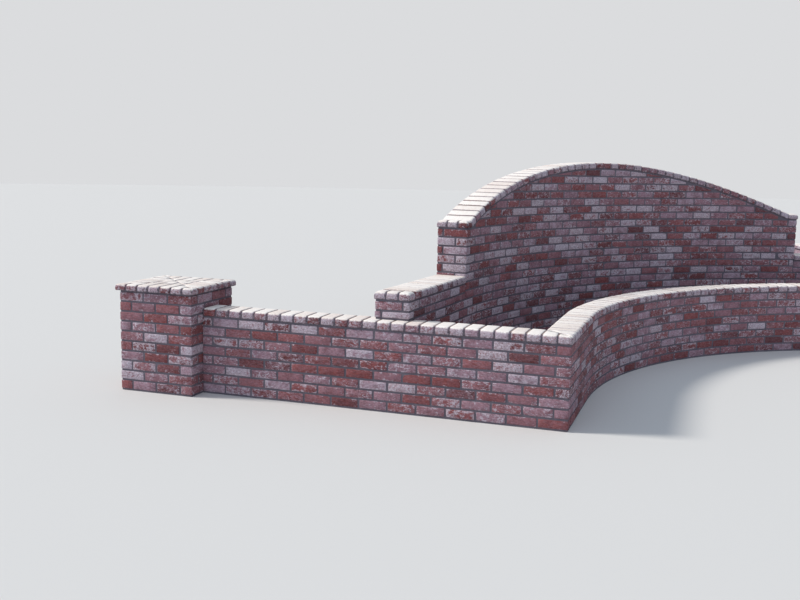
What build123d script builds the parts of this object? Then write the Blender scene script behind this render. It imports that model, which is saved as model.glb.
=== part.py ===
from build123d import *
from math import asin, cos, degrees, radians, sin, sqrt, tan
import os

# A brick garden wall with a concave bay, made in millimetres with +Z up.
# The origin is on the ground, under the middle of the tall wall's thickness, at the crown of its arch.
# The bay opens towards -Y, and the left and right halves mirror each other about the YZ plane.

# Courses: one course is a brick and its bed joint
COURSE = 72.0
LOW_COURSES = 8
WING_COURSES = 11
SPRING_COURSES = 17
CROWN_COURSES = 24
PIER_COURSES = 10
PIER_COURSE = 75.0

# Coping bricks
COPING_THICKNESS = 72.0
COPING_OVERHANG = 8.0
NOSE_RADIUS = 25.0

# Bay: both curved walls share one centre, and the tall one spans a smaller angle
BAY_RADIUS = 3310.0
BAY_HALF_ANGLE = 35.9
TALL_HALF_ANGLE = 31.75
LOW_THICKNESS = 203.0
BED_WIDTH = 880.0
TALL_THICKNESS = 255.0
CURVE_SEGMENTS = 5
ARCH_STATIONS = 6
ARCH_CLEARANCE = 0.3
SHOULDER_LENGTH = 110.0

# Straight walls
RETURN_LENGTH = 970.0
FRONT_LENGTH = 2750.0
WING_BEARING = 115.0
WING_CUT = 15.0  # off the course that stands on the front coping

# Piers
PIER_SIDE = 610.0
PIER_PROJECTION = 160.0
CAP_THICKNESS = 62.0
CAP_OVERHANG = 25.0

# Heights and radii worked out from the sizes above
LOW_HEIGHT = LOW_COURSES * COURSE
WING_HEIGHT = WING_COURSES * COURSE - WING_CUT
SPRING_HEIGHT = SPRING_COURSES * COURSE
CROWN_HEIGHT = CROWN_COURSES * COURSE
PIER_HEIGHT = PIER_COURSES * PIER_COURSE
LOW_COPING_TOP = LOW_HEIGHT + COPING_THICKNESS
LOW_BACK = BAY_RADIUS + LOW_THICKNESS
TALL_FACE = LOW_BACK + BED_WIDTH
TALL_BACK = TALL_FACE + TALL_THICKNESS
TALL_MIDDLE = (TALL_FACE + TALL_BACK) / 2
BAY_CENTRE = Vector(0, -TALL_MIDDLE, 0)
WING_TURN = radians(BAY_HALF_ANGLE - TALL_HALF_ANGLE)

# Arch: a circle seen square to the bay, through the crown and the two springings
SHOULDER_ANGLE = degrees(SHOULDER_LENGTH / TALL_FACE)
SPRING_ANGLE = TALL_HALF_ANGLE - SHOULDER_ANGLE
ARCH_RISE = CROWN_HEIGHT - SPRING_HEIGHT
ARCH_HALF_SPAN = TALL_FACE * sin(radians(SPRING_ANGLE))
ARCH_RADIUS = (ARCH_HALF_SPAN**2 + ARCH_RISE**2) / (2 * ARCH_RISE)


def radial(angle):
    """Unit vector that points away from the bay's centre, at an angle from the axis, left positive."""
    return Vector(-sin(radians(angle)), cos(radians(angle)), 0)


def arch_height(angle):
    """Height of the wall under the arch coping."""
    offset = TALL_FACE * sin(radians(angle))
    return CROWN_HEIGHT - ARCH_RADIUS + sqrt(ARCH_RADIUS**2 - offset**2)


def arch_slope(angle):
    """Slope of the arch in degrees, measured along the curved wall, falling to the left positive."""
    offset = TALL_FACE * sin(radians(angle))
    fall = offset / sqrt(ARCH_RADIUS**2 - offset**2)
    return degrees(asin(fall * cos(radians(angle)) / sqrt(1 + (fall * cos(radians(angle))) ** 2)))


def arm_plane(hand):
    """Plane of a straight arm: its origin is the front corner and y runs back along the return."""
    away = radial(hand * BAY_HALF_ANGLE)
    forward = Vector(-hand * away.Y, hand * away.X, 0)
    corner = BAY_CENTRE + away * BAY_RADIUS + forward * RETURN_LENGTH
    return Plane(origin=corner, x_dir=away * -hand, z_dir=(0, 0, 1))


def save(piece, name):
    """Labels a finished piece and writes it to its own file."""
    piece.part.label = name
    export_step(piece.part, f"parts/{name}.step")


def sector(inner, outer, start, end, height=0):
    """A flat ring sector about the bay's centre, between two angles from the axis."""
    with BuildSketch(Plane.XY.offset(height)) as plan:
        with BuildLine():
            inner_arc = CenterArc((0, -TALL_MIDDLE), inner, 90 + start, end - start)
            outer_arc = CenterArc((0, -TALL_MIDDLE), outer, 90 + start, end - start)
            Line(inner_arc @ 0, outer_arc @ 0)
            Line(inner_arc @ 1, outer_arc @ 1)
        make_face()
    return plan.sketch


def arm_block(arm, hand, x_range, y_range, z_range):
    """Adds an upright block to a piece of an arm. Its x is negative away from the bay."""
    x_centre = hand * sum(x_range) / 2
    y_centre = sum(y_range) / 2
    with BuildSketch(arm.offset(z_range[0])) as plan:
        with Locations((x_centre, y_centre)):
            Rectangle(x_range[1] - x_range[0], y_range[1] - y_range[0])
    extrude(plan.sketch, amount=z_range[1] - z_range[0])


def arm_outline(arm, hand, corners, z_range):
    """Adds an upright block to a piece of an arm, from the corners of its plan."""
    with BuildSketch(arm.offset(z_range[0])) as plan:
        with BuildLine():
            Polyline(*[(hand * x, y) for x, y in corners], close=True)
        make_face()
    extrude(plan.sketch, amount=z_range[1] - z_range[0])


def top_edges(piece):
    """The edges around the top of a piece."""
    return piece.edges().group_by(Axis.Z)[-1]


def outside(edges, arm, hand, x=None, y=None):
    """The edges whose middles lie at a given arm x or y."""
    found = []
    for edge in edges:
        middle = arm.to_local_coords(edge @ 0.5)
        at_x = x is not None and abs(hand * middle.X - x) < 1
        at_y = y is not None and abs(middle.Y - y) < 1
        if at_x or at_y:
            found.append(edge)
    return found


def front_side(side, hand):
    """The pier, the straight front wall and their copings."""
    arm = arm_plane(hand)
    pier_x = (-FRONT_LENGTH - PIER_SIDE, -FRONT_LENGTH)
    pier_y = (-PIER_PROJECTION, PIER_SIDE - PIER_PROJECTION)

    with BuildPart() as pier:
        arm_block(arm, hand, pier_x, pier_y, (0, PIER_HEIGHT))
    save(pier, f"{side}_pier")

    with BuildPart() as cap:
        cap_x = (pier_x[0] - CAP_OVERHANG, pier_x[1] + CAP_OVERHANG)
        cap_y = (pier_y[0] - CAP_OVERHANG, pier_y[1] + CAP_OVERHANG)
        arm_block(arm, hand, cap_x, cap_y, (PIER_HEIGHT, PIER_HEIGHT + CAP_THICKNESS))
        fillet(top_edges(cap), radius=NOSE_RADIUS)
    save(cap, f"{side}_pier_cap")

    with BuildPart() as wall:
        arm_block(arm, hand, (-FRONT_LENGTH, 0), (0, LOW_THICKNESS), (0, LOW_HEIGHT))
    save(wall, f"{side}_front_wall")

    with BuildPart() as coping:
        near, far = -COPING_OVERHANG, LOW_THICKNESS + COPING_OVERHANG
        corners = [(-FRONT_LENGTH, near), (-near, near), (-far, far), (-FRONT_LENGTH, far)]
        arm_outline(arm, hand, corners, (LOW_HEIGHT, LOW_COPING_TOP))
        noses = outside(top_edges(coping), arm, hand, y=near)
        noses += outside(top_edges(coping), arm, hand, y=far)
        fillet(noses, radius=NOSE_RADIUS)
    save(coping, f"{side}_front_coping")


def return_side(side, hand):
    """The low wall that runs straight back from the corner. Its coping meets the front one in a mitre."""
    arm = arm_plane(hand)
    with BuildPart() as wall:
        arm_block(arm, hand, (-LOW_THICKNESS, 0), (LOW_THICKNESS, RETURN_LENGTH), (0, LOW_HEIGHT))
    save(wall, f"{side}_return_wall")

    with BuildPart() as coping:
        near, far = -COPING_OVERHANG, LOW_THICKNESS + COPING_OVERHANG
        corners = [(-near, near), (-near, RETURN_LENGTH), (-far, RETURN_LENGTH), (-far, far)]
        arm_outline(arm, hand, corners, (LOW_HEIGHT, LOW_COPING_TOP))
        noses = outside(top_edges(coping), arm, hand, x=-near)
        noses += outside(top_edges(coping), arm, hand, x=-far)
        fillet(noses, radius=NOSE_RADIUS)
    save(coping, f"{side}_return_coping")


def wing_plan(overhang, end_y):
    """Corners of a wing in its arm's plane: it carries on the tall wall's line to a given arm y."""
    corners = []
    for radius in (TALL_FACE - overhang, TALL_BACK + overhang):
        start_x = BAY_RADIUS - radius * cos(WING_TURN)
        start_y = RETURN_LENGTH + radius * sin(WING_TURN)
        end_x = start_x - (start_y - end_y) * tan(WING_TURN)
        corners.append(((start_x, start_y), (end_x, end_y)))
    (face_start, face_end), (back_start, back_end) = corners
    return face_start, face_end, back_end, back_start


def wing_side(side, hand):
    """The wing wall: its end stands on the rear part of the front coping."""
    arm = arm_plane(hand)
    coping_back = LOW_THICKNESS + COPING_OVERHANG
    end_y = coping_back - WING_BEARING
    with BuildPart() as wall:
        arm_outline(arm, hand, wing_plan(0, end_y), (LOW_COPING_TOP, WING_HEIGHT))
        arm_outline(arm, hand, wing_plan(0, coping_back), (LOW_HEIGHT, LOW_COPING_TOP))
        arm_outline(arm, hand, wing_plan(0, LOW_THICKNESS), (0, LOW_HEIGHT))
    save(wall, f"{side}_wing_wall")

    with BuildPart() as coping:
        corners = wing_plan(COPING_OVERHANG, end_y - COPING_OVERHANG)
        arm_outline(arm, hand, corners, (WING_HEIGHT, WING_HEIGHT + COPING_THICKNESS))
        towards_end = Axis(BAY_CENTRE, radial(hand * (TALL_HALF_ANGLE + 90)))
        fillet(top_edges(coping).sort_by(towards_end)[1:], radius=NOSE_RADIUS)
    save(coping, f"{side}_wing_coping")


def bay_segment(number, start, end):
    """One length of the low curved wall and its coping."""
    with BuildPart() as wall:
        extrude(sector(BAY_RADIUS, LOW_BACK, start, end), amount=LOW_HEIGHT)
    save(wall, f"bay_wall_{number}")

    with BuildPart() as coping:
        ring = (BAY_RADIUS - COPING_OVERHANG, LOW_BACK + COPING_OVERHANG)
        extrude(sector(*ring, start, end, LOW_HEIGHT), amount=COPING_THICKNESS)
        fillet(top_edges(coping).filter_by(GeomType.CIRCLE), radius=NOSE_RADIUS)
    save(coping, f"bay_coping_{number}")


def stations(start, end):
    """Evenly spaced angles from one end of a segment to the other."""
    return [start + (end - start) * step / ARCH_STATIONS for step in range(ARCH_STATIONS + 1)]


def under_arch(angle):
    """An upright section of the space under the arch, wider and deeper than the wall."""
    height = arch_height(angle)
    plane = Plane(origin=BAY_CENTRE, x_dir=radial(angle), z_dir=radial(angle - 90))
    with BuildSketch(plane) as section:
        with Locations((TALL_MIDDLE, (height - CROWN_HEIGHT) / 2)):
            Rectangle(TALL_THICKNESS * 2, height + CROWN_HEIGHT)
    return section.sketch


def tall_segment(number, start, end):
    """One length of the tall wall: a ring sector cut off under the arch."""
    arch_start = max(start, -SPRING_ANGLE)
    arch_end = min(end, SPRING_ANGLE)
    with BuildPart() as wall:
        extrude(sector(TALL_FACE, TALL_BACK, arch_start, arch_end), amount=CROWN_HEIGHT)
        places = stations(arch_start, arch_end)
        loft([under_arch(angle) for angle in places], ruled=True, mode=Mode.INTERSECT)
        for low, high in ((start, arch_start), (arch_end, end)):
            if high > low:
                extrude(sector(TALL_FACE, TALL_BACK, low, high), amount=SPRING_HEIGHT)
    save(wall, f"tall_wall_{number}")


def nose_section(angle, height, tilt, thickness):
    """The coping's section across the tall wall, on a plane that is tilted from upright."""
    along = radial(angle - 90) * cos(radians(tilt)) + Vector(0, 0, sin(radians(tilt)))
    seat = BAY_CENTRE + Vector(0, 0, height + ARCH_CLEARANCE)
    plane = Plane(origin=seat, x_dir=radial(angle), z_dir=along)
    with BuildSketch(plane) as section:
        with Locations((TALL_MIDDLE, thickness / 2)):
            Rectangle(TALL_THICKNESS + 2 * COPING_OVERHANG, thickness)
        fillet(section.vertices().group_by(Axis.Y)[-1], radius=NOSE_RADIUS)
    return section.sketch


def arch_tilt(angle):
    """Tilt of the coping's section: square to the arch, and a mitre at the springings."""
    mitre = abs(abs(angle) - SPRING_ANGLE) < 0.001
    return arch_slope(angle) / 2 if mitre else arch_slope(angle)


def arch_section(angle):
    """The coping's section at one place along the arch."""
    stretch = cos(radians(arch_slope(angle) - arch_tilt(angle)))
    return nose_section(angle, arch_height(angle), arch_tilt(angle), COPING_THICKNESS / stretch)


def arch_coping(number, start, end):
    """One length of the bullnosed coping, in short straight spans that follow the curve and the arch."""
    with BuildPart() as coping:
        places = stations(max(start, -SPRING_ANGLE), min(end, SPRING_ANGLE))
        loft([arch_section(angle) for angle in places], ruled=True)
    save(coping, f"arch_coping_{number}")


def shoulder_coping(side, hand):
    """The short level coping between the end of the tall wall and the arch, where it is cut to a mitre."""
    angle = hand * TALL_HALF_ANGLE
    outward = radial(angle + hand * 90)
    seat = BAY_CENTRE + Vector(0, 0, SPRING_HEIGHT + ARCH_CLEARANCE)
    mitre = arch_section(hand * SPRING_ANGLE).faces()[0]
    with BuildPart() as coping:
        with BuildSketch(Plane(origin=seat, x_dir=radial(angle), z_dir=radial(angle - 90))) as section:
            with Locations((TALL_MIDDLE, COPING_THICKNESS / 2)):
                Rectangle(TALL_THICKNESS + 2 * COPING_OVERHANG, COPING_THICKNESS)
        extrude(section.sketch, amount=COPING_OVERHANG, dir=outward)
        extrude(section.sketch, amount=2 * SHOULDER_LENGTH, dir=-outward)
        split(bisect_by=Plane(mitre), keep=Keep.BOTTOM if hand > 0 else Keep.TOP)
        fillet(top_edges(coping).sort_by(Axis(BAY_CENTRE, outward))[1:], radius=NOSE_RADIUS)
    save(coping, f"{side}_shoulder_coping")


os.makedirs("parts", exist_ok=True)
for side_name, side_hand in (("left", 1), ("right", -1)):
    front_side(side_name, side_hand)
    return_side(side_name, side_hand)
    wing_side(side_name, side_hand)
    shoulder_coping(side_name, side_hand)
for index in range(CURVE_SEGMENTS):
    share_start, share_end = (1 - 2 * step / CURVE_SEGMENTS for step in (index + 1, index))
    bay_segment(index + 1, share_start * BAY_HALF_ANGLE, share_end * BAY_HALF_ANGLE)
    tall_segment(index + 1, share_start * TALL_HALF_ANGLE, share_end * TALL_HALF_ANGLE)
    arch_coping(index + 1, share_start * TALL_HALF_ANGLE, share_end * TALL_HALF_ANGLE)
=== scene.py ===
"""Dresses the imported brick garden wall: every brick, its mortar, the floor, the light and the camera."""

from functools import cache
from math import atan, cos, floor, pi, radians, sin, sqrt, tan

import bmesh
import bpy
import numpy as np
from mathutils import Matrix, Vector


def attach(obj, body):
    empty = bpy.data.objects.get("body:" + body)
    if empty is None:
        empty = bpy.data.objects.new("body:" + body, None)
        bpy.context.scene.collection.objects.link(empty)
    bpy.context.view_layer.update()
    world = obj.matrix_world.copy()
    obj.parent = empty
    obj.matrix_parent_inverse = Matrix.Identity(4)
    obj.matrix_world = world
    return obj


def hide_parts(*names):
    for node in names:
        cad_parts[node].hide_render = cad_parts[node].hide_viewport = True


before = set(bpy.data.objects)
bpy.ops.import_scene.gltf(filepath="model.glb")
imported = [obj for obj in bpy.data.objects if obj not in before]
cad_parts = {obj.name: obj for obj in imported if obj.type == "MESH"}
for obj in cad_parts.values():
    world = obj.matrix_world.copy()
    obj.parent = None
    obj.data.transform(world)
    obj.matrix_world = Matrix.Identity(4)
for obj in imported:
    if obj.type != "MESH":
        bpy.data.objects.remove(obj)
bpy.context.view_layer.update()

# Driving sizes in metres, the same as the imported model's
COURSE = 0.072
PIER_COURSE = 0.075
LOW_COURSES = 8
WING_COURSES = 11
SPRING_COURSES = 17
CROWN_COURSES = 24
PIER_COURSES = 10
COPING = 0.072
OVERHANG = 0.008
NOSE = 0.025
BAY_RADIUS = 3.310
HALF_ANGLE = radians(35.9)
TALL_HALF_ANGLE = radians(31.75)
LOW_THICKNESS = 0.203
BED_WIDTH = 0.880
TALL_THICKNESS = 0.255
SEGMENTS = 5
SHOULDER = 0.110
RETURN_LENGTH = 0.970
FRONT_LENGTH = 2.750
WING_BEARING = 0.115
WING_CUT = 0.015
PIER_SIDE = 0.610
PIER_PROJECTION = 0.160
CAP_THICKNESS = 0.062
CAP_OVERHANG = 0.025

# Bricks, and the joints between them. None is laid that is shorter than SHORTEST or lower than LOWEST
LENGTH = 0.200
DEPTH = 0.092
SHORTEST = 0.035
LOWEST = 0.015
JOINT = 0.014
COPING_PITCH = 0.107
COPING_JOINT = 0.009
CENTRE_JOINT = 0.003
MITRE_JOINT = 0.006
CAP_MITRE_JOINT = 0.004
END_NOSE = 0.034
END_BRICKS = 3
CAP_BRICKS = 7

# How far mortar lies behind a wall's face, behind a nose and under a coping's top
RAKE = 0.005
NOSE_RAKE = 0.010
TOP_RAKE = 0.004

# Worked out from the sizes above
LOW_TOP = LOW_COURSES * COURSE
WING_TOP = WING_COURSES * COURSE - WING_CUT
SPRING_TOP = SPRING_COURSES * COURSE
CROWN_TOP = CROWN_COURSES * COURSE
PIER_TOP = PIER_COURSES * PIER_COURSE
LOW_BACK = BAY_RADIUS + LOW_THICKNESS
TALL_FACE = LOW_BACK + BED_WIDTH
TALL_BACK = TALL_FACE + TALL_THICKNESS
CENTRE = Vector((0, -(TALL_FACE + TALL_BACK) / 2, 0))
SPRING_ANGLE = TALL_HALF_ANGLE - SHOULDER / TALL_FACE
RISE = CROWN_TOP - SPRING_TOP
HALF_SPAN = TALL_FACE * sin(SPRING_ANGLE)
ARCH_RADIUS = (HALF_SPAN**2 + RISE**2) / (2 * RISE)
LOW_COPING_BACK = LOW_THICKNESS + OVERHANG
WING_END = LOW_COPING_BACK - WING_BEARING
SLIVER = TALL_THICKNESS - LENGTH - JOINT

# Which way each side lies from the bay's axis
SIDES = {"left": -1, "right": 1}

random = np.random.default_rng(20)


# Places
def frame_of(x_dir, y_dir, origin):
    """A frame on the ground, from two level directions and an origin."""
    return Matrix((
        (x_dir.x, y_dir.x, 0, origin.x),
        (x_dir.y, y_dir.y, 0, origin.y),
        (0, 0, 1, 0),
        (0, 0, 0, 1)))


class Line:
    """A face line of a curved wall that carries on straight at both ends. Its s is 0 on the bay's axis."""

    def __init__(self, radius, half_angle):
        self.radius = radius
        self.arc = radius * half_angle
        self.turn = HALF_ANGLE - half_angle

    def frame(self, s):
        """Frame on the line: x runs right along it, and y goes back."""
        sign = 1 if s >= 0 else -1
        arc = min(abs(s), self.arc)
        angle = sign * arc / self.radius
        along = Vector((cos(angle), -sin(angle), 0))
        back = Vector((sin(angle), cos(angle), 0))
        origin = CENTRE + back * self.radius + along * sign * (abs(s) - arc)
        return frame_of(along, back, origin)

    def reach(self, arm_y):
        """Distance along the line, from the bay's axis to a place at an arm's y."""
        return self.arc + (RETURN_LENGTH + self.radius * sin(self.turn) - arm_y) / cos(self.turn)


LOW = Line(BAY_RADIUS, HALF_ANGLE)
LOW_REAR = Line(LOW_BACK, HALF_ANGLE)
TALL = Line(TALL_FACE, TALL_HALF_ANGLE)
TALL_REAR = Line(TALL_BACK, TALL_HALF_ANGLE)


def arm_frame(sign):
    """Frame of an arm: its corner on the ground, x towards the bay, y back. The right one is mirrored."""
    corner = LOW.frame(-LOW.reach(0)).translation
    x_dir = Vector((sin(HALF_ANGLE), -cos(HALF_ANGLE), 0))
    y_dir = Vector((cos(HALF_ANGLE), sin(HALF_ANGLE), 0))
    left = frame_of(x_dir, y_dir, corner)
    return left if sign < 0 else Matrix.Diagonal((-1, 1, 1, 1)) @ left


def pier_frame(sign, quarter=0):
    """Frame in the middle of a pier, on the ground, parallel to its arm's or turned by quarters from it."""
    middle = Matrix.Translation((-FRONT_LENGTH - PIER_SIDE / 2, PIER_SIDE / 2 - PIER_PROJECTION, 0))
    return arm_frame(sign) @ middle @ Matrix.Rotation(quarter * pi / 2, 4, "Z")


def arch_height(angle):
    """Height of the tall wall under its coping."""
    offset = TALL_FACE * sin(min(abs(angle), SPRING_ANGLE))
    return CROWN_TOP - ARCH_RADIUS + sqrt(ARCH_RADIUS**2 - offset**2)


def arch_slope(angle):
    """Slope along the curved wall, rising to the right positive. The angle is right positive."""
    offset = TALL_FACE * sin(angle)
    return -atan(offset / sqrt(ARCH_RADIUS**2 - offset**2) * cos(angle))


def arch_frame(angle):
    """Frame on the tall wall's top: x runs right and follows the slope, y goes back."""
    lift = Matrix.Translation((0, 0, arch_height(angle)))
    return TALL.frame(TALL_FACE * angle) @ lift @ Matrix.Rotation(-arch_slope(angle), 4, "Y")


def end_frame(sign, arm_y=None):
    """Frame at an end of the tall wall, or at a wing's end. That one is oblique, along the front wall."""
    if arm_y is None:
        return TALL.frame(sign * TALL.arc)
    shear = Matrix.Identity(4)
    shear[0][1] = sign * tan(TALL.turn)
    return TALL.frame(sign * TALL.reach(arm_y)) @ shear


# Blocks

# A template's half sizes, and where it is split along each axis so that it can be worn and bent
TEMPLATE_HALF = Vector((0.1, 0.1, 0.03))
TEMPLATE_SPLITS = (
    (Vector((1, 0, 0)), (-0.04, 0.0, 0.04)),
    (Vector((0, 1, 0)), (0.0,)),
    (Vector((0, 0, 1)), (0.0,)))
TOLERANCE = 1e-5

# Worn edges: how wide the wear is, and how far a block's stretching stays away from it
EDGE_WEAR = 0.004
NOSED_EDGE_WEAR = 0.008
EDGE_MARGIN = 0.002
SHARP = radians(50)
NOSE_STEPS = 5
WEAR_STEPS = 2

# How bricks differ: the spread of their points, the least and greatest reach of a chip, the mean and
# spread of its depth, the spread of a brick's turn in radians and of its shift along x, y and z
UNEVENNESS = 0.00045
CHIP_REACH = (0.012, 0.030)
CHIP_DEPTH = (0.001, 0.0025)
TURN = 0.004
SHIFT = (0.0005, 0.0008, 0.0004)

# The least height that a cut leaves of a brick at its thin end
THINNEST = 0.002


def everything(bm):
    return bm.verts[:] + bm.edges[:] + bm.faces[:]


def read_out(bm):
    """Points and faces of a finished bmesh, which is then freed."""
    bm.verts.index_update()
    points = np.array([vert.co[:] for vert in bm.verts]).reshape(-1, 3)
    # A bevel lists its faces in another order on each run, so they are sorted
    faces = sorted([vert.index for vert in face.verts] for face in bm.faces)
    bm.free()
    return points, faces


def round_edges(bm, noses, nose, wear):
    """Rounds the top edges of a template's sides that have a nose, and wears down every sharp edge."""
    half = TEMPLATE_HALF

    def on_nose(edge):
        middle = (edge.verts[0].co + edge.verts[1].co) / 2
        sides = {
            "x-": middle.x < -half.x + TOLERANCE,
            "x+": middle.x > half.x - TOLERANCE,
            "y-": middle.y < -half.y + TOLERANCE,
            "y+": middle.y > half.y - TOLERANCE}
        return middle.z > half.z - TOLERANCE and any(sides[side] for side in noses)

    rounded = [edge for edge in bm.edges if on_nose(edge)]
    if rounded:
        bmesh.ops.bevel(bm, geom=rounded, offset=nose, segments=NOSE_STEPS, profile=0.5, affect="EDGES")
    sharp = [edge for edge in bm.edges if edge.calc_face_angle(0) > SHARP]
    bmesh.ops.bevel(bm, geom=sharp, offset=wear, segments=WEAR_STEPS, profile=0.5, affect="EDGES")


@cache
def template(noses, nose):
    """A block that can be stretched without changing its edges.

    It comes as its faces and, for each point, a scale and a shift. The scale times a block's half
    sizes, plus the shift, gives the point. noses names the sides with a rounded top edge.
    """
    wear = NOSED_EDGE_WEAR if noses else EDGE_WEAR
    bm = bmesh.new()
    bmesh.ops.create_cube(bm, size=2, matrix=Matrix.Diagonal((*TEMPLATE_HALF, 1)))
    round_edges(bm, noses, nose, wear)
    for normal, places in TEMPLATE_SPLITS:
        for place in places:
            bmesh.ops.bisect_plane(bm, geom=everything(bm), plane_co=normal * place, plane_no=normal)
    points, faces = read_out(bm)
    scale, shift = np.zeros_like(points), np.zeros_like(points)
    for axis, letter in enumerate("xyz"):
        value, reach = points[:, axis], TEMPLATE_HALF[axis]
        low = (nose if f"{letter}-" in noses else wear) + EDGE_MARGIN
        high = (nose if f"{letter}+" in noses or (letter == "z" and noses) else wear) + EDGE_MARGIN
        share = np.clip((value + reach - low) / (2 * reach - low - high), 0, 1)
        beyond = np.minimum(value + reach - low, 0) + np.maximum(value - reach + high, 0)
        scale[:, axis] = 2 * share - 1
        shift[:, axis] = low - share * (low + high) + beyond
    return scale, shift, faces


def cut_block(points, faces, planes):
    """Cuts a block by planes and closes it again. What lies on the side of a plane's normal goes."""
    bm = bmesh.new()
    verts = [bm.verts.new(point) for point in points]
    for face in faces:
        bm.faces.new([verts[index] for index in face])
    for point, normal in planes:
        bmesh.ops.bisect_plane(bm, geom=everything(bm), plane_co=point, plane_no=normal, clear_outer=True)
        rim = [edge for edge in bm.edges if edge.is_boundary]
        if rim:
            bmesh.ops.holes_fill(bm, edges=rim, sides=0)
    return read_out(bm)


def weather(points, half, middle):
    """Makes a block uneven, chips a corner, turns and shifts it a little, and puts it at its middle."""
    points = points + random.normal(0, UNEVENNESS, points.shape)
    corner = np.sign(random.normal(size=3)) * half
    reach = random.uniform(*CHIP_REACH)
    depth = max(0.0, random.normal(*CHIP_DEPTH))
    near = np.clip(1 - np.linalg.norm(points - corner, axis=1) / reach, 0, 1)
    points -= np.sign(corner) * near[:, None] * depth
    around_z, around_x, _ = random.normal(0, TURN, 3)
    turn = np.array(Matrix.Rotation(around_z, 3, "Z") @ Matrix.Rotation(around_x / 2, 3, "X"))
    return points @ turn.T + middle + random.normal(0, SHIFT)


def lower_top(points, low, high, top):
    """Presses a block down to a top that slopes or curves. top gives its height from local x."""
    cut = np.array([min(high, top(x)) for x in points[:, 0]])
    points[:, 2] = low + (points[:, 2] - low) * np.maximum(cut - low, THINNEST) / (high - low)


class Bricks:
    """Gathers the blocks of one node and makes one object of them.

    Each point also keeps what the materials need: its brick's look, its spot and its brick's half sizes.
    """

    def __init__(self, name, node, slot, lime):
        self.name, self.node, self.slot, self.lime = name, node, slot, lime
        self.points, self.faces, self.looks, self.spots, self.halves = [], [], [], [], []
        self.count = 0

    def add(self, place, low, high, noses=(), top=None, cuts=(), lime=None, nose=NOSE):
        """A block between two corners of a local frame. top gives the height of a cut, from local x."""
        scale, shift, faces = template(noses, nose)
        low, high = np.array(low), np.array(high)
        half, middle = (high - low) / 2, (high + low) / 2
        spot = scale * half + shift
        if cuts:
            spot, faces = cut_block(spot + middle, faces, cuts)
            if not len(spot):
                return
            spot -= middle
        local = weather(spot, half, middle)
        if top is not None:
            lower_top(local, low[2], high[2], top)
        world = np.array(place)
        self.points.append(local @ world[:3, :3].T + world[:3, 3])
        mirrored = np.linalg.det(world[:3, :3]) < 0
        for face in faces:
            ring = [index + self.count for index in face]
            self.faces.append(ring[::-1] if mirrored else ring)
        look = (random.random(), random.beta(*(lime or self.lime)), random.random())
        self.looks.append(np.tile(look, (len(local), 1)))
        self.spots.append(spot)
        self.halves.append(np.tile(half, (len(local), 1)))
        self.count += len(local)

    def finish(self, material):
        """Makes the object of all the blocks."""
        mesh = bpy.data.meshes.new(self.name)
        mesh.from_pydata(np.vstack(self.points).tolist(), [], self.faces)
        for name, values in (("look", self.looks), ("spot", self.spots), ("half", self.halves)):
            layer = mesh.attributes.new(name, "FLOAT_VECTOR", "POINT")
            layer.data.foreach_set("vector", np.vstack(values).ravel())
        mesh.shade_smooth()
        mesh.materials.append(material)
        dress(self.name, mesh, self.node)


def dress(name, mesh, node):
    """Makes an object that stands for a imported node."""
    piece = bpy.data.objects.new(name, mesh)
    bpy.context.scene.collection.objects.link(piece)
    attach(piece, "root")
    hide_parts(node)


# Mortar bodies
ROUND_POINTS = 6
ROUND_RINGS = 5


def sweep(bm, rings):
    """Adds a closed body through a row of sections with equal numbers of points."""
    rows = [[bm.verts.new(point) for point in ring] for ring in rings]
    for near, far in zip(rows, rows[1:]):
        for index in range(len(near)):
            after = (index + 1) % len(near)
            bm.faces.new((near[index], near[after], far[after], far[index]))
    bm.faces.new(rows[0][::-1])
    bm.faces.new(rows[-1])


def mortar(node, *bodies):
    """The mortar of one node. Each body is a row of sections, set back behind the bricks."""
    bm = bmesh.new()
    for rings in bodies:
        sweep(bm, rings)
    bmesh.ops.recalc_face_normals(bm, faces=bm.faces)
    mesh = bpy.data.meshes.new(f"{node}_mortar")
    bm.to_mesh(mesh)
    bm.free()
    mesh.materials.append(mortar_material)
    dress(f"{node}_mortar", mesh, node)


def wall_section(thickness, bottom, top):
    """Mortar across a wall, behind both of its faces."""
    near, far = RAKE, thickness - RAKE
    return [(0, near, bottom), (0, far, bottom), (0, far, top), (0, near, top)]


def quarter_round(y, z, radius, start):
    """Points on a quarter of a circle round a centre, from a start angle."""
    angles = np.linspace(start, start + pi / 2, ROUND_POINTS)
    return [(y + radius * cos(a), z + radius * sin(a)) for a in angles]


def coping_section(thickness, base, height=COPING):
    """Mortar between coping bricks: the bed is narrow and the rest follows the noses."""
    near, far = -OVERHANG + NOSE_RAKE, thickness + OVERHANG - NOSE_RAKE
    bed, top = base + JOINT, base + height - TOP_RAKE
    points = [(RAKE, base), (thickness - RAKE, base), (thickness - RAKE, bed), (far, bed)]
    points += quarter_round(far - NOSE, top - NOSE, NOSE, 0)
    points += quarter_round(near + NOSE, top - NOSE, NOSE, pi / 2)
    points += [(near, bed), (RAKE, bed)]
    return [(0, y, z) for y, z in points]


def placed(place, section):
    return [place @ Vector(point) for point in section]


def rounded_end(frame_at, base):
    """Coping mortar along a row of rounded ends. frame_at gives the frame at a depth behind their face."""
    rings = []
    for angle in np.linspace(0, pi / 2, ROUND_RINGS):
        height = COPING - NOSE * (1 - cos(angle))
        place = frame_at(NOSE_RAKE + NOSE * (1 - sin(angle)))
        rings.append(placed(place, coping_section(TALL_THICKNESS, base, height)))
    return rings


# Colours
def srgb(red, green, blue):
    """A colour written as it looks, from 0 to 255, turned into the linear one that a shader takes."""
    def linear(value):
        value /= 255
        return value / 12.92 if value <= 0.04045 else ((value + 0.055) / 1.055) ** 2.4
    return linear(red), linear(green), linear(blue), 1.0


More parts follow.
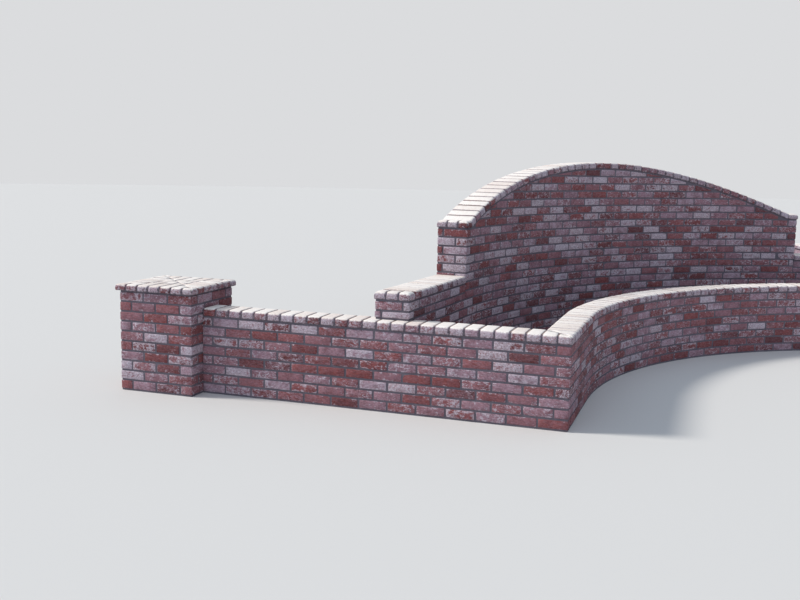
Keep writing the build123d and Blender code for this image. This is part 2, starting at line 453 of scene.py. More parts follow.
# Clay from the darkest bricks to the palest, over the tones from 0 to 1
CLAY = [
    (0.00, srgb(90, 50, 52)),
    (0.12, srgb(114, 58, 57)),
    (0.30, srgb(134, 70, 68)),
    (0.46, srgb(138, 82, 84)),
    (0.66, srgb(140, 98, 106)),
    (0.84, srgb(150, 118, 130)),
    (1.00, srgb(172, 152, 164))]
DEEP = srgb(92, 46, 50)
DUST = srgb(160, 135, 147)
GRIT = srgb(176, 148, 150)
LIME = srgb(204, 196, 206)
THIN_LIME = srgb(178, 166, 176)
# Tops that face up: partly the coping's lime, partly painted sunlight
PALE_SUNLIT_TOP = srgb(250, 243, 236)
TAN_SUNLIT_TOP = srgb(230, 214, 204)
# Dark specks of soot; the same colour is the painted shade along the copings' edges
SOOT_AND_EDGE_SHADE = srgb(60, 50, 58)
MORTAR = srgb(98, 92, 102)
SAND = srgb(120, 114, 122)
MORTAR_STAIN = srgb(82, 76, 84)
# Painted sunlight on mortar that faces up
SUNLIT_MORTAR_TOP = srgb(160, 143, 134)
FLOOR = srgb(218, 216, 213)
BACKDROP = srgb(219, 220, 222)
SKY = (0.71, 0.83, 1.0, 1.0)
SKY_STRENGTH = 0.50

# How the share of lime spreads from brick to brick, as the two numbers of a beta distribution
WALL_LIME = (0.9, 2.5)
TALL_LIME = (1.0, 1.9)
COPING_LIME = (2.0, 1.8)
PALE_LIME = (2.6, 1.8)
END_LIME = (5.0, 1.3)


# Materials
class Nodes:
    """Short calls for building a material's node tree. Numbers and sockets are both taken as inputs."""

    def __init__(self, name):
        self.material = bpy.data.materials.new(name)
        self.material.use_nodes = True
        self.tree = self.material.node_tree
        self.shader = self.tree.nodes["Principled BSDF"]

    def add(self, kind, inputs=None, **settings):
        node = self.tree.nodes.new(kind)
        for key, value in settings.items():
            setattr(node, key, value)
        for key, value in (inputs or {}).items():
            if isinstance(value, bpy.types.NodeSocket):
                self.tree.links.new(value, node.inputs[key])
            else:
                node.inputs[key].default_value = value
        return node

    def math(self, operation, first, second=0.0):
        return self.add("ShaderNodeMath", {0: first, 1: second}, operation=operation).outputs[0]

    def total(self, first, *others):
        for other in others:
            first = self.math("ADD", first, other)
        return first

    def product(self, first, second):
        return self.math("MULTIPLY", first, second)

    def vector(self, operation, first, second=(0.0, 0.0, 0.0)):
        return self.add("ShaderNodeVectorMath", {0: first, 1: second}, operation=operation).outputs[0]

    def axes(self, vector):
        """The x, y and z of a vector."""
        return self.add("ShaderNodeSeparateXYZ", {0: vector}).outputs

    def noise(self, vector, scale, detail, roughness, distortion=0.0, offset=None):
        """Noise with its scale per metre. An offset takes it from another part of the noise."""
        if offset:
            vector = self.vector("ADD", vector, offset)
        inputs = {"Vector": vector, "Scale": scale, "Detail": detail, "Roughness": roughness,
                  "Distortion": distortion}
        return self.add("ShaderNodeTexNoise", inputs).outputs["Fac"]

    def spread(self, value, low, high, out_low=0.0, out_high=1.0):
        """Maps low to out_low and high to out_high, with nothing past them."""
        inputs = {"Value": value, "From Min": low, "From Max": high, "To Min": out_low, "To Max": out_high}
        return self.add("ShaderNodeMapRange", inputs, clamp=True).outputs["Result"]

    def mix(self, factor, first, second, blend="MIX"):
        """Mixes two colours, which are inputs 6 and 7 of the node. Its output 2 is a colour."""
        inputs = {"Factor": factor, 6: first, 7: second}
        return self.add("ShaderNodeMix", inputs, data_type="RGBA", blend_type=blend).outputs[2]

    def ramp(self, value, stops):
        node = self.add("ShaderNodeValToRGB", {"Fac": value})
        elements = node.color_ramp.elements
        while len(elements) < len(stops):
            elements.new(0.5)
        for element, (position, color) in zip(elements, stops):
            element.position = position
            element.color = color
        return node.outputs["Color"]

    def surface(self, color, height, strength, distance):
        """Gives the shader its colour, and its bumps from a height."""
        bump = self.add("ShaderNodeBump", {"Height": height, "Strength": strength, "Distance": distance})
        self.tree.links.new(color, self.shader.inputs["Base Color"])
        self.tree.links.new(bump.outputs["Normal"], self.shader.inputs["Normal"])


class BrickNodes(Nodes):
    """The shader of reclaimed bricks. A brick's look is its tone, its lime and a seed, all 0 to 1."""

    def __init__(self, name):
        super().__init__(name)
        look, spot, half = (self.attribute(key) for key in ("look", "spot", "half"))
        self.tone, self.lime, self.seed = self.axes(look)
        # Each brick takes its marks from another part of the noises. Most are drawn out along the brick
        far = self.vector("MULTIPLY", look, (31.0, 47.0, 61.0))
        self.coord = self.vector("ADD", spot, far)
        self.flat = self.vector("ADD", self.vector("MULTIPLY", spot, (0.65, 1.0, 1.4)), far)
        self.cloudy = self.noise(self.flat, 48.0, 5.0, 0.62, 0.9)
        self.patches = self.noise(self.flat, 44.0, 6.0, 0.68, 1.2, offset=(7.0, 3.0, 5.0))
        self.ragged = self.noise(self.coord, 52.0, 4.0, 0.62, offset=(2.0, 9.0, 4.0))
        self.grit = self.noise(self.coord, 210.0, 3.0, 0.7)
        self.edge = self.edge_distance(spot, half)

    def attribute(self, name):
        settings = {"attribute_name": name, "attribute_type": "GEOMETRY"}
        return self.add("ShaderNodeAttribute", **settings).outputs["Vector"]

    def edge_distance(self, spot, half):
        """Distance to the face's nearest edge: the middle one of the distances to the brick's sides."""
        inset = self.axes(self.vector("SUBTRACT", half, self.vector("ABSOLUTE", spot)))
        lesser = self.math("MINIMUM", inset[0], inset[1])
        greater = self.math("MAXIMUM", inset[0], inset[1])
        return self.math("MAXIMUM", lesser, self.math("MINIMUM", greater, inset[2]))

    def clay(self):
        """The brick's own clay, deeper in broad areas, with dusty patches and pale grit."""
        shifted = self.total(self.tone, self.spread(self.cloudy, 0.3, 0.7, -0.13, 0.13))
        color = self.ramp(shifted, CLAY)
        broad = self.noise(self.coord, 12.0, 3.0, 0.6)
        color = self.mix(self.spread(broad, 0.42, 0.68, 0.0, 0.55), color, DEEP)
        patches = self.spread(self.patches, 0.38, 0.62)
        dusty = self.product(patches, self.spread(self.seed, 0.0, 1.0, 0.15, 0.62))
        color = self.mix(dusty, color, DUST)
        return self.mix(self.spread(self.grit, 0.56, 0.72, 0.0, 0.4), color, GRIT)

    def lime_smears(self):
        """Thin wandering smears, broken up, and fainter on some bricks."""
        noise = self.noise(self.flat, 15.0, 3.0, 0.55, 2.6, offset=(4.0, 8.0, 1.0))
        off_middle = self.math("ABSOLUTE", self.math("SUBTRACT", noise, 0.5))
        smear = self.spread(off_middle, 0.030, 0.060, 1.0, 0.0)
        smear = self.product(smear, self.spread(self.ragged, 0.42, 0.50))
        return self.product(smear, self.spread(self.seed, 0.25, 0.6, 0.2, 1.0))

    def lime_cover(self, limits):
        """How much lime covers a spot: patches, edges and smears on most bricks, and all over a few."""
        uneven = self.total(self.edge, self.spread(self.ragged, 0.3, 0.7, -0.011, 0.011))
        rim = self.spread(uneven, 0.001, 0.012, 1.0, 0.0)
        halves = self.noise(self.coord, 17.0, 4.0, 0.6, 0.8, offset=(5.0, 1.0, 8.0))
        level = self.total(
            self.product(self.spread(self.patches, 0.30, 0.70), 0.58),
            self.product(rim, 0.26),
            self.product(self.lime_smears(), 0.46),
            self.spread(halves, 0.36, 0.64, -0.30, 0.24),
            self.product(self.lime, 0.55),
            self.spread(self.lime, 0.45, 0.72, 0.0, 0.42))
        cover = self.spread(level, *limits, 0.0, 0.90)
        pits = self.noise(self.coord, 88.0, 4.0, 0.7)
        return self.product(cover, self.spread(pits, 0.34, 0.58, 0.22, 1.0))

    def add_lime(self, color, cover):
        """Lays the lime on the clay, and mottles both."""
        wash = self.mix(self.spread(self.grit, 0.35, 0.65), LIME, THIN_LIME)
        color = self.mix(cover, color, wash)
        mottle = self.noise(self.flat, 84.0, 4.0, 0.65, 0.6, offset=(1.0, 6.0, 2.0))
        return self.mix(1.0, color, self.spread(mottle, 0.32, 0.68, 0.68, 1.26), "MULTIPLY")

    def soot(self, limits, least):
        """Dark specks. least is their share on the cleanest bricks."""
        specks = self.noise(self.coord, 74.0, 5.0, 0.7, 0.5)
        return self.product(self.spread(specks, *limits), self.spread(self.seed, 0.3, 1.0, least, 0.8))

    def paint_sunlit_top(self, color, up):
        """Paints what faces up pale, partly the coping's lime and partly painted sunlight, except along its
        edges.
        """
        # How much of the pale top a spot takes: mostly from facing up, which is painted sunlight
        bleached_and_lit = self.total(
            self.spread(up, 0.30, 0.92),
            self.spread(self.patches, 0.3, 0.7, -0.26, 0.30),
            self.spread(self.edge, 0.001, 0.010, -0.34, 0.0))
        tan_share = self.total(
            self.spread(self.cloudy, 0.40, 0.68, 0.0, 0.55),
            self.spread(self.seed, 0.35, 1.0, -0.10, 0.55))
        top = self.mix(tan_share, PALE_SUNLIT_TOP, TAN_SUNLIT_TOP)
        return self.mix(self.spread(bleached_and_lit, 0.28, 0.74, 0.0, 0.97), color, top)

    def clear_top_soot_and_shade_edges(self, dark, up):
        """Takes soot off what faces up, as part of the painted sunlit top, and paints shade along the edges
        of the other faces, towards the joints.
        """
        # Painted shade: darker near the edges of faces that don't face up
        edge_shade = self.total(self.edge, self.spread(self.ragged, 0.3, 0.7, -0.006, 0.006))
        edge_shade = self.product(self.spread(edge_shade, 0.0, 0.009, 0.8, 0.0), self.spread(up, 0.2, 0.8, 1.0, 0.15))
        return self.math("MAXIMUM", self.product(dark, self.spread(up, 0.3, 0.9, 1.0, 0.14)), edge_shade)


def brick_material(name, lime_limits, soot_limits, least_soot, sunlit_top_and_edge_shade=False):
    """Reclaimed clay brick: each one has its own clay colour, with old lime on its edges and in patches."""
    n = BrickNodes(name)
    limed = n.lime_cover(lime_limits)
    color = n.add_lime(n.clay(), limed)
    dark = n.soot(soot_limits, least_soot)
    # On copings: painted sunlight on what faces up, and painted shade along the other faces' edges
    if sunlit_top_and_edge_shade:
        up = n.axes(n.add("ShaderNodeTexCoord").outputs["Normal"])[2]
        color = n.paint_sunlit_top(color, up)
        dark = n.clear_top_soot_and_shade_edges(dark, up)
    # Soot specks, and on copings the painted shade along the edges, in one dark colour
    color = n.mix(dark, color, SOOT_AND_EDGE_SHADE)
    height = n.total(n.product(n.cloudy, 0.8), n.product(n.grit, 0.3), n.product(limed, 0.12))
    height = n.math("SUBTRACT", height, n.product(dark, 0.25))
    n.surface(color, height, strength=0.6, distance=0.004)
    n.tree.links.new(n.spread(n.cloudy, 0.3, 0.7, 0.80, 0.96), n.shader.inputs["Roughness"])
    n.shader.inputs["Specular IOR Level"].default_value = 0.25
    return n.material


def make_mortar_material():
    """Sandy mortar, stained in places, and painted paler where it faces up, as sunlight would light it."""
    n = Nodes("mortar")
    coords = n.add("ShaderNodeTexCoord")
    up = n.axes(coords.outputs["Normal"])[2]
    sand = n.noise(coords.outputs["Object"], 380.0, 3.0, 0.7)
    stain = n.noise(coords.outputs["Object"], 5.0, 5.0, 0.6)
    color = n.mix(n.spread(sand, 0.35, 0.65), MORTAR, SAND)
    color = n.mix(n.spread(stain, 0.35, 0.65, 0.0, 0.5), color, MORTAR_STAIN)
    # Painted sunlight: mortar that faces up turns paler
    color = n.mix(n.spread(up, 0.80, 0.97), color, SUNLIT_MORTAR_TOP)
    n.surface(color, sand, strength=0.5, distance=0.002)
    n.shader.inputs["Roughness"].default_value = 0.95
    n.shader.inputs["Specular IOR Level"].default_value = 0.2
    return n.material


brick = brick_material(
    "reclaimed_brick", lime_limits=(0.74, 0.98), soot_limits=(0.57, 0.67), least_soot=0.15)
# Coping bricks carry painted sunlight on their tops and painted shade along their other edges
coping_brick = brick_material(
    "limed_coping_brick_painted_light", lime_limits=(0.60, 0.88), soot_limits=(0.54, 0.63), least_soot=0.3, sunlit_top_and_edge_shade=True)
mortar_material = make_mortar_material()

pieces = {}


def bricks(node):
    """The bricks of a node, made when first asked for."""
    if node not in pieces:
        coping = "coping" in node or node.endswith("cap")
        lime = COPING_LIME if coping else TALL_LIME if node.startswith("tall_wall") else WALL_LIME
        pieces[node] = Bricks(f"{node}_bricks", node, "coping_brick" if coping else "brick", lime)
    return pieces[node]


# Runs of bricks
def run(start, end, first=LENGTH):
    """Lengths of brick from one place to another. The first may be short, and the last is cut to fit."""
    lengths = []
    at, length = start, first
    while end - at > SHORTEST:
        stop = min(at + length, end)
        if end - stop < SHORTEST + JOINT:
            stop = end
        lengths.append((at, stop))
        at, length = stop + JOINT, LENGTH
    return lengths


def course_z(index, course=COURSE):
    """Bottom and top of the bricks of one course, above its bed joint."""
    return index * course + JOINT, (index + 1) * course


def wing_z(course):
    """Bottom and top of a wing's course. The one that stands on the front coping is cut lower."""
    bottom, level = course_z(course)
    if course > LOW_COURSES + 1:
        bottom -= WING_CUT
    if course > LOW_COURSES:
        level -= WING_CUT
    return bottom, level


def lay_on_line(line, near, levels, start, end, first, node_of, top=None):
    """One course of one leaf along a face line. near is the depth of the leaf's front behind the line.

    node_of gives the node at a place, and top the height of the wall there, where it cuts the course.
    """
    bottom, level = levels
    for left, right in run(start, end, first):
        middle = (left + right) / 2
        half = (right - left) / 2
        cut = None
        if top is not None:
            if max(top(left), top(middle), top(right)) < bottom + LOWEST:
                continue
            if min(top(left), top(right)) < level:
                def cut(x, middle=middle):
                    return top(middle + x)
        corners = (-half, near, bottom), (half, near + DEPTH, level)
        bricks(node_of(middle)).add(line.frame(middle), *corners, top=cut)


# Low walls
def curve_node(kind, line, s):
    """The node of a curved wall that holds a place on its face line."""
    share = (s + line.arc) / (2 * line.arc)
    return f"{kind}_{min(max(floor(share * SEGMENTS), 0), SEGMENTS - 1) + 1}"


def low_node(s):
    """The node of the low wall at a place on its front line."""
    if abs(s) <= LOW.arc:
        return curve_node("bay_wall", LOW, s)
    return "left_return_wall" if s < 0 else "right_return_wall"


def low_rear_node(s):
    """The node of the low wall at a place on its rear line."""
    return low_node(s * BAY_RADIUS / LOW_BACK) if abs(s) <= LOW_REAR.arc else low_node(s)


def lay_low_walls():
    """The low walls: two leaves of stretchers, with half bond from the corners."""
    for course in range(LOW_COURSES):
        # The return's brick is on the corner in the course under the coping, and in every other one
        return_leads = (LOW_COURSES - 1 - course) % 2 == 0
        reach = LOW.reach(0 if return_leads else DEPTH + JOINT)
        lay_on_line(LOW, 0, course_z(course), -reach, reach, LENGTH, low_node)
        reach = LOW_REAR.reach(LENGTH + JOINT if return_leads else DEPTH + JOINT)
        lay_on_line(LOW_REAR, -DEPTH, course_z(course), -reach, reach, LENGTH, low_rear_node)
        for side, sign in SIDES.items():
            lay_front_course(side, sign, course, return_leads)


def lay_front_course(side, sign, course, return_leads):
    """One course of a front wall, from the corner, or the return's brick that is on it, to the pier."""
    bottom, level = course_z(course)
    arm = arm_frame(sign)
    wall = bricks(f"{side}_front_wall")
    for near, far in run(DEPTH + JOINT if return_leads else 0, FRONT_LENGTH):
        wall.add(arm, (-far, 0, bottom), (-near, DEPTH, level))
    for near, far in run(DEPTH + JOINT if return_leads else LENGTH + JOINT, FRONT_LENGTH):
        wall.add(arm, (-far, LOW_THICKNESS - DEPTH, bottom), (-near, LOW_THICKNESS, level))


# Tall walls
def tall_node(line):
    """Gives the node of the tall wall or its wings, from a place on one of its lines."""
    def node(s):
        if abs(s) <= line.arc:
            return curve_node("tall_wall", line, s)
        return "left_wing_wall" if s < 0 else "right_wing_wall"
    return node


def tall_top(line):
    """Gives the height of the tall wall, from a place on one of its lines."""
    return lambda s: arch_height(s / line.radius)


def lay_tall_walls():
    """The tall wall and its wings: two leaves of stretchers on a solid core, with bonded ends."""
    for course in range(CROWN_COURSES):
        winged = course < WING_COURSES
        # Above the wings the bond starts anew, with a long brick on the end under the coping
        even = (course % 2 == 0) == winged
        lay_tall_leaf(TALL, 0, course, even)
        lay_tall_leaf(TALL_REAR, -DEPTH, course, even)
        if LOW_COURSES < course < SPRING_COURSES:
            for side, sign in SIDES.items():
                lay_end(side, sign, course, even)


def lay_tall_leaf(line, near, course, even):
    """One course of one leaf of the tall wall and its wings, up to the bricks that bond its ends."""
    levels = course_z(course)
    node_of = tall_node(line)
    # The brick on the end is a long one in every other course, in the front leaf and the rear leaf by turns
    end_brick = (LENGTH if even == (line is TALL) else DEPTH) + JOINT
    if course <= LOW_COURSES:
        reach = line.reach(LOW_THICKNESS if course < LOW_COURSES else LOW_COPING_BACK)
        lay_on_line(line, near, levels, -reach, reach, LENGTH if even else DEPTH, node_of)
    elif course < WING_COURSES:
        reach = line.reach(WING_END) - end_brick
        edge = line.arc - JOINT / 2
        lay_on_line(line, near, wing_z(course), -reach, -line.arc, LENGTH, node_of)
        lay_on_line(line, near, levels, -edge, edge, DEPTH if even else LENGTH, node_of)
        lay_on_line(line, near, wing_z(course), line.arc, reach, LENGTH, node_of)
    else:
        reach = line.arc - end_brick
        lay_on_line(line, near, levels, -reach, reach, LENGTH, node_of, tall_top(line))


def lay_end(side, sign, course, even):
    """The bricks that show on one end of one course of the thick wall."""
    if course < WING_COURSES:
        bottom, level = wing_z(course)
        wall = bricks(f"{side}_wing_wall")
        place = end_frame(sign, WING_END)
        thin = SLIVER
    else:
        bottom, level = course_z(course)
        wall = bricks(f"tall_wall_{1 if sign < 0 else SEGMENTS}")
        place = end_frame(sign)
        thin = DEPTH
    # Each row: how far a brick reaches along the wall, and its depth on the end
    if even:
        row = ((LENGTH, 0, thin), (DEPTH, thin + JOINT, TALL_THICKNESS))
    else:
        row = ((DEPTH, 0, LENGTH), (LENGTH, LENGTH + JOINT, TALL_THICKNESS))
    for length, near, far in row:
        start, end = sorted((0, -sign * length))
        wall.add(place, (start, near, bottom), (end, far, level), lime=PALE_LIME)


# Piers
def lay_piers():
    """Square piers: three stretchers on two faces, and two between the corners on the others."""
    outer = -PIER_SIDE / 2
    third = (PIER_SIDE - 2 * JOINT) / 3
    inner = (PIER_SIDE - 2 * DEPTH - 3 * JOINT) / 2
    for side, sign in SIDES.items():
        pier = bricks(f"{side}_pier")
        for course in range(PIER_COURSES):
            bottom, level = course_z(course, PIER_COURSE)
            for quarter in range(4):
                if (PIER_COURSES - 1 - course + quarter) % 2 == 0:
                    first, count, length = outer, 3, third
                else:
                    first, count, length = outer + DEPTH + JOINT, 2, inner
                for index in range(count):
                    start = first + index * (length + JOINT)
                    corners = (start, outer, bottom), (start + length, outer + DEPTH, level)
                    pier.add(pier_frame(sign, quarter), *corners)


# Copings
BOTH_FACES = ("y-", "y+")
ARCH_STEPS = 720

# The cut through the corner's mitre, for the bricks of the front coping
FRONT_MITRE = ((-MITRE_JOINT / 2, -MITRE_JOINT / 2, 0), (1, 1, 0))


def return_mitre(sign, arm_y):
    """The same cut for a brick of the return's coping, whose frame is at an arm's y."""
    return (sign * (arm_y - MITRE_JOINT), 0, 0), (sign, 1, 0)


def even_pitch(length):
    """A whole number of coping bricks that fill a length, and the pitch that they then have."""
    count = max(1, round(length / COPING_PITCH))
    return count, length / count


def lay_low_coping():
    """Bullnosed bricks laid across the low walls, with a mitre at each corner."""
    bottom, level = LOW_TOP + JOINT, LOW_TOP + COPING
    reach = LOW.reach(-OVERHANG)
    count, pitch = even_pitch(2 * reach)
    half = (pitch - COPING_JOINT) / 2
    for index in range(count):
        s = -reach + (index + 0.5) * pitch
        arm_y = LOW.reach(0) - abs(s)
        near_corner = arm_y < LOW_COPING_BACK + half
        cuts = (return_mitre(-1 if s < 0 else 1, arm_y),) if near_corner else ()
        corners = (-half, -OVERHANG, bottom), (half, LOW_COPING_BACK, level)
        coping = bricks(low_node(s).replace("wall", "coping"))
        coping.add(LOW.frame(s), *corners, BOTH_FACES, cuts=cuts)
    count, pitch = even_pitch(FRONT_LENGTH + OVERHANG)
    for side, sign in SIDES.items():
        coping = bricks(f"{side}_front_coping")
        for index in range(count):
            near = OVERHANG - index * pitch
            cuts = (FRONT_MITRE,) if near > -LOW_COPING_BACK else ()
            corners = (near - pitch + COPING_JOINT, -OVERHANG, bottom), (near, LOW_COPING_BACK, level)
            coping.add(arm_frame(sign), *corners, BOTH_FACES, cuts=cuts)


def lay_wing_coping():
    """Wing copings: a row of ends to the front, then bricks across the wall, the first cut to the row."""
    bottom, level = WING_TOP + JOINT, WING_TOP + COPING
    front = WING_END - OVERHANG
    rear = TALL_THICKNESS + OVERHANG
    end_length = DEPTH + JOINT
    count, pitch = even_pitch(TALL.reach(front) - end_length - JOINT - TALL.arc)
    half = (pitch - COPING_JOINT) / 2
    for side, sign in SIDES.items():
        coping = bricks(f"{side}_wing_coping")
        lay_end_row(coping, end_frame(sign, front), sign, end_length, WING_TOP)
        for index in range(count):
            outer, cuts = half, ()
            if index == count - 1:
                outer += rear * tan(TALL.turn)
                cuts = (((sign * half, 0, 0), (sign, -tan(TALL.turn), 0)),)
            start, end = sorted((-sign * half, sign * outer))
            place = TALL.frame(sign * (TALL.arc + (index + 0.5) * pitch))
            coping.add(place, (start, -OVERHANG, bottom), (end, rear, level), BOTH_FACES, cuts=cuts)


def lay_end_row(coping, place, sign, length, base):
    """Short bricks side by side whose rounded ends face out of the end of a thick wall."""
    pitch = (TALL_THICKNESS + 2 * OVERHANG + COPING_JOINT) / END_BRICKS
    start, end = sorted((0, -sign * length))
    for index in range(END_BRICKS):
        near = -OVERHANG + index * pitch
        noses = ["x-" if sign < 0 else "x+"]
        if index == 0:
            noses.append("y-")
        if index == END_BRICKS - 1:
            noses.append("y+")
        corners = (start, near, base + JOINT), (end, near + pitch - COPING_JOINT, base + COPING)
        coping.add(place, *corners, tuple(noses), lime=END_LIME, nose=END_NOSE)


def arch_places():
    """Angles of the coping bricks along the arch, evenly spaced along its slope, and their pitch."""
    angles = np.linspace(-SPRING_ANGLE, SPRING_ANGLE, ARCH_STEPS + 1)
    steps = [0.0]
    for before, after in zip(angles, angles[1:]):
        slope = arch_slope((before + after) / 2)
        steps.append(steps[-1] + TALL_FACE * (after - before) / cos(slope))
    count, pitch = even_pitch(steps[-1])
    return [float(np.interp((index + 0.5) * pitch, steps, angles)) for index in range(count)], pitch


def lay_arch_coping():
    """The arch's coping: bricks across the wall, square to the slope, and level ends."""
    angles, pitch = arch_places()
    half = (pitch - COPING_JOINT) / 2
    corners = (-half, -OVERHANG, JOINT), (half, TALL_THICKNESS + OVERHANG, COPING)
    for angle in angles:
        coping = bricks(curve_node("arch_coping", TALL, TALL_FACE * angle))
        coping.add(arch_frame(angle), *corners, BOTH_FACES)
    for side, sign in SIDES.items():
        place = TALL.frame(sign * (TALL.arc + OVERHANG))
        lay_end_row(bricks(f"{side}_shoulder_coping"), place, sign, SHOULDER, SPRING_TOP)


def lay_caps():
    """Pier caps: bullnosed bricks that face all four sides, and cut bricks inside, with mitred corners."""
    side_length = PIER_SIDE + 2 * CAP_OVERHANG
    pitch = (side_length + COPING_JOINT) / CAP_BRICKS
    half = side_length / 2
    inner = -half + LENGTH
    bottom, level = PIER_TOP + JOINT, PIER_TOP + CAP_THICKNESS
    middle = (0, -CAP_MITRE_JOINT / 2, 0)
    cuts = ((middle, (-1, 1, 0)), (middle, (1, 1, 0)))
    for side, sign in SIDES.items():
        cap = bricks(f"{side}_pier_cap")
        for quarter in range(4):
            face = pier_frame(sign, quarter)
            for index in range(CAP_BRICKS):
                left = -half + index * pitch
                right = left + pitch - COPING_JOINT
                cap.add(face, (left, -half, bottom), (right, inner, level), ("y-",), cuts=cuts)
                if min(abs(left), abs(right)) < -inner - JOINT or left < 0 < right:
                    cap.add(face, (left, inner + CENTRE_JOINT, bottom), (right, 0, level), cuts=cuts)


# Mortar
BAY_STEPS = 6
TALL_STATIONS = 9


def mortar_on_line(node, line, start, end, section, steps=1):
    """Mortar with one section all along a stretch of a face line."""
    mortar(node, [placed(line.frame(s), section) for s in np.linspace(start, end, steps + 1)])


def lay_bay_mortar(number, low, high):
    """Mortar of one length of the bay wall, with its ends as shares of the half arc."""
    ends = low * LOW.arc, high * LOW.arc
    mortar_on_line(f"bay_wall_{number}", LOW, *ends, wall_section(LOW_THICKNESS, 0, LOW_TOP), BAY_STEPS)
    mortar_on_line(f"bay_coping_{number}", LOW, *ends, coping_section(LOW_THICKNESS, LOW_TOP), BAY_STEPS)


def lay_tall_mortar(number, low, high):
    """Mortar of one length of the tall wall, with its ends as shares of the half arc."""
    edge = TALL_HALF_ANGLE - RAKE / TALL_FACE
    start, end = max(low * TALL_HALF_ANGLE, -edge), min(high * TALL_HALF_ANGLE, edge)
    springs = [angle for angle in (-SPRING_ANGLE, SPRING_ANGLE) if start < angle < end]
    rings = []
    for angle in sorted({*np.linspace(start, end, TALL_STATIONS), *springs}):
        section = wall_section(TALL_THICKNESS, 0, arch_height(angle))
        rings.append(placed(TALL.frame(TALL_FACE * angle), section))
    mortar(f"tall_wall_{number}", rings)
    section = coping_section(TALL_THICKNESS, 0)
    angles = np.linspace(max(start, -SPRING_ANGLE), min(end, SPRING_ANGLE), TALL_STATIONS)
    mortar(f"arch_coping_{number}", [placed(arch_frame(angle), section) for angle in angles])


def lay_arm_mortar(side, sign):
    """Mortar of an arm's straight low walls, whose copings meet at the corner."""
    arm = arm_frame(sign)
    section = wall_section(LOW_THICKNESS, 0, LOW_TOP)
    mortar_on_line(f"{side}_return_wall", LOW, sign * LOW.reach(LOW_THICKNESS), sign * LOW.arc, section)
    ends = [arm @ Matrix.Translation((x, 0, 0)) for x in (-FRONT_LENGTH, -RAKE)]
    mortar(f"{side}_front_wall", [placed(place, section) for place in ends])
    section = coping_section(LOW_THICKNESS, LOW_TOP)
    corner = [arm @ Vector((-y, y, z)) for _, y, z in section]
    at_pier = [arm @ Vector((-FRONT_LENGTH, y, z)) for _, y, z in section]
    at_bay = [arm @ Vector((-y, RETURN_LENGTH, z)) for _, y, z in section]
    mortar(f"{side}_front_coping", [at_pier, corner])
    mortar(f"{side}_return_coping", [at_bay, corner])


def lay_wing_mortar(side, sign):
    """Mortar of a wing, which steps over the front coping, and of the copings beside the tall wall's end."""
    start = TALL.frame(sign * (TALL.arc - RAKE))
    low_coping_top = LOW_TOP + COPING
    steps = (
        (LOW_THICKNESS, 0, LOW_TOP),
        (LOW_COPING_BACK, LOW_TOP, low_coping_top),
        (WING_END + RAKE, low_coping_top, WING_TOP))
    bodies = []
    for arm_y, bottom, top in steps:
        section = wall_section(TALL_THICKNESS, bottom, top)
        bodies.append([placed(start, section), placed(end_frame(sign, arm_y), section)])
    mortar(f"{side}_wing_wall", *bodies)
    inner = placed(TALL.frame(sign * TALL.arc), coping_section(TALL_THICKNESS, WING_TOP))
    rings = rounded_end(lambda depth: end_frame(sign, WING_END - OVERHANG + depth), WING_TOP)
    mortar(f"{side}_wing_coping", [inner, *rings])
    inner = placed(TALL.frame(sign * TALL_FACE * SPRING_ANGLE), coping_section(TALL_THICKNESS, SPRING_TOP))
    rings = rounded_end(lambda depth: TALL.frame(sign * (TALL.arc + OVERHANG - depth)), SPRING_TOP)
    mortar(f"{side}_shoulder_coping", [inner, *rings])


def lay_pier_mortar(side, sign):
    """Mortar of a pier and its cap: a square at each height, with rounded edges under the cap's top."""
    def square(half, z):
        corners = ((-1, -1), (1, -1), (1, 1), (-1, 1))
        return placed(pier_frame(sign), [(x * half, y * half, z) for x, y in corners])

    half = PIER_SIDE / 2 - RAKE
    wide = PIER_SIDE / 2 + CAP_OVERHANG - NOSE_RAKE
    bed, top = PIER_TOP + JOINT, PIER_TOP + CAP_THICKNESS - TOP_RAKE
    mortar(f"{side}_pier", [square(half, 0), square(half, PIER_TOP)])
    outline = [(half, PIER_TOP), (half, bed), (wide, bed), *quarter_round(wide - NOSE, top - NOSE, NOSE, 0)]
    mortar(f"{side}_pier_cap", [square(size, z) for size, z in outline])


def lay_mortar():
    """The mortar of every node."""
    for index in range(SEGMENTS):
        low, high = -1 + 2 * index / SEGMENTS, -1 + 2 * (index + 1) / SEGMENTS
        lay_bay_mortar(index + 1, low, high)
        lay_tall_mortar(index + 1, low, high)
    for side, sign in SIDES.items():
        lay_arm_mortar(side, sign)
        lay_wing_mortar(side, sign)
        lay_pier_mortar(side, sign)


# Floor, light and camera
FLOOR_RADIUS = 60.0
FLOOR_SIDES = 96

# The photograph's viewpoint in the left arm's frame, and its focal length and width in pixels
VIEWPOINT = (0.888, -6.116, 1.733)
YAW = radians(-18.80)
PITCH = radians(8.13)
ROLL = radians(1.20)
FOCAL_PIXELS = 944
WIDTH_PIXELS = 800
SENSOR_WIDTH = 36.0
CLIP_END = 200.0


def make_floor():
    """A plain pale floor, far wider than the wall."""
    n = Nodes("floor")
    n.shader.inputs["Base Color"].default_value = FLOOR
    n.shader.inputs["Roughness"].default_value = 0.9
    bm = bmesh.new()
    bmesh.ops.create_circle(bm, cap_ends=True, radius=FLOOR_RADIUS, segments=FLOOR_SIDES)
    mesh = bpy.data.meshes.new("floor")
    bm.to_mesh(mesh)
    bm.free()
    mesh.materials.append(n.material)
    ground = bpy.data.objects.new("floor", mesh)
    bpy.context.scene.collection.objects.link(ground)


def make_sun(name, strength, softness, direction, color):
    """A lamp that shines from a direction. Its softness is the angle that it fills in the sky."""
    lamp = bpy.data.lights.new(name, "SUN")
    lamp.energy = strength
    lamp.angle = softness
    lamp.color = color
    lamp_object = bpy.data.objects.new(name, lamp)
    lamp_object.rotation_euler = Vector(direction).to_track_quat("Z", "Y").to_euler()
    bpy.context.scene.collection.objects.link(lamp_object)


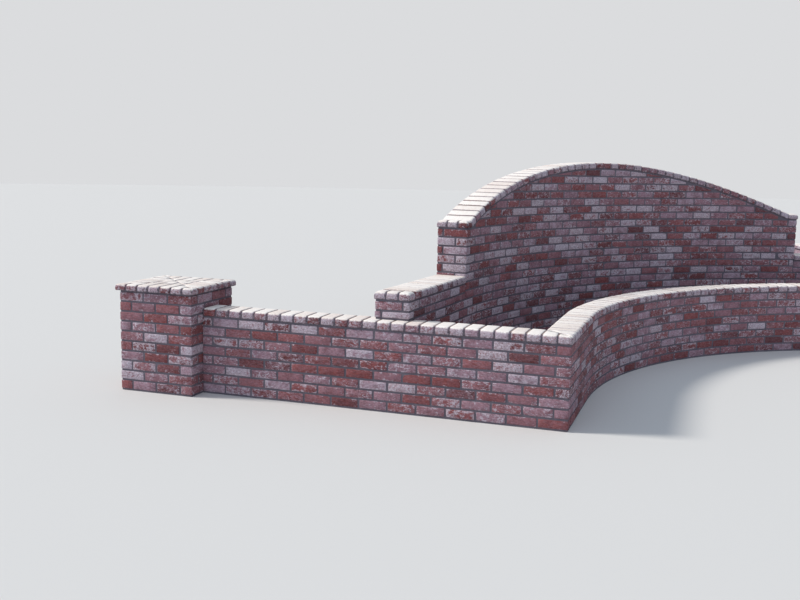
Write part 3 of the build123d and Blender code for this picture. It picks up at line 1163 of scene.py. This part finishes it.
def make_world():
    """A sky that lights the wall, and a pale backdrop in its place for the camera, gloss and glass."""
    world = bpy.data.worlds.new("studio")
    bpy.context.scene.world = world
    world.use_nodes = True
    tree = world.node_tree
    sky = tree.nodes["Background"]
    sky.inputs["Color"].default_value = SKY
    sky.inputs["Strength"].default_value = SKY_STRENGTH
    backdrop = tree.nodes.new("ShaderNodeBackground")
    backdrop.inputs["Color"].default_value = BACKDROP
    path = tree.nodes.new("ShaderNodeLightPath")
    seen = path.outputs["Is Camera Ray"]
    for ray in ("Is Glossy Ray", "Is Transmission Ray"):
        either = tree.nodes.new("ShaderNodeMath")
        either.operation = "MAXIMUM"
        tree.links.new(seen, either.inputs[0])
        tree.links.new(path.outputs[ray], either.inputs[1])
        seen = either.outputs[0]
    mix = tree.nodes.new("ShaderNodeMixShader")
    tree.links.new(seen, mix.inputs[0])
    tree.links.new(sky.outputs[0], mix.inputs[1])
    tree.links.new(backdrop.outputs[0], mix.inputs[2])
    tree.links.new(mix.outputs[0], tree.nodes["World Output"].inputs["Surface"])


def make_camera():
    """The photograph's view, placed from the left arm."""
    forward = Vector((sin(YAW) * cos(PITCH), cos(YAW) * cos(PITCH), -sin(PITCH)))
    level = Vector((cos(YAW), -sin(YAW), 0))
    up = level.cross(forward)
    right = level * cos(ROLL) + up * sin(ROLL)
    above = up * cos(ROLL) - level * sin(ROLL)
    lens = bpy.data.cameras.new("camera")
    lens.sensor_width = SENSOR_WIDTH
    lens.sensor_fit = "HORIZONTAL"
    lens.lens = FOCAL_PIXELS / WIDTH_PIXELS * SENSOR_WIDTH
    lens.clip_end = CLIP_END
    camera = bpy.data.objects.new("camera", lens)
    axes = Matrix((right, above, -forward)).transposed().to_4x4()
    camera.matrix_world = arm_frame(SIDES["left"]) @ Matrix.Translation(VIEWPOINT) @ axes
    bpy.context.scene.collection.objects.link(camera)
    bpy.context.scene.camera = camera


lay_low_walls()
lay_tall_walls()
lay_piers()
lay_low_coping()
lay_wing_coping()
lay_arch_coping()
lay_caps()
for piece in pieces.values():
    piece.finish(coping_brick if piece.slot == "coping_brick" else brick)
lay_mortar()
make_floor()
make_world()
make_sun("key", 2.85, radians(12), direction=(-0.60, 0.50, 0.65), color=(1.0, 0.96, 0.90))
make_sun("fill", 0.55, radians(60), direction=(-0.60, -0.65, 0.45), color=(0.77, 0.86, 1.0))
make_camera()
bpy.context.scene.view_settings.view_transform = "Standard"
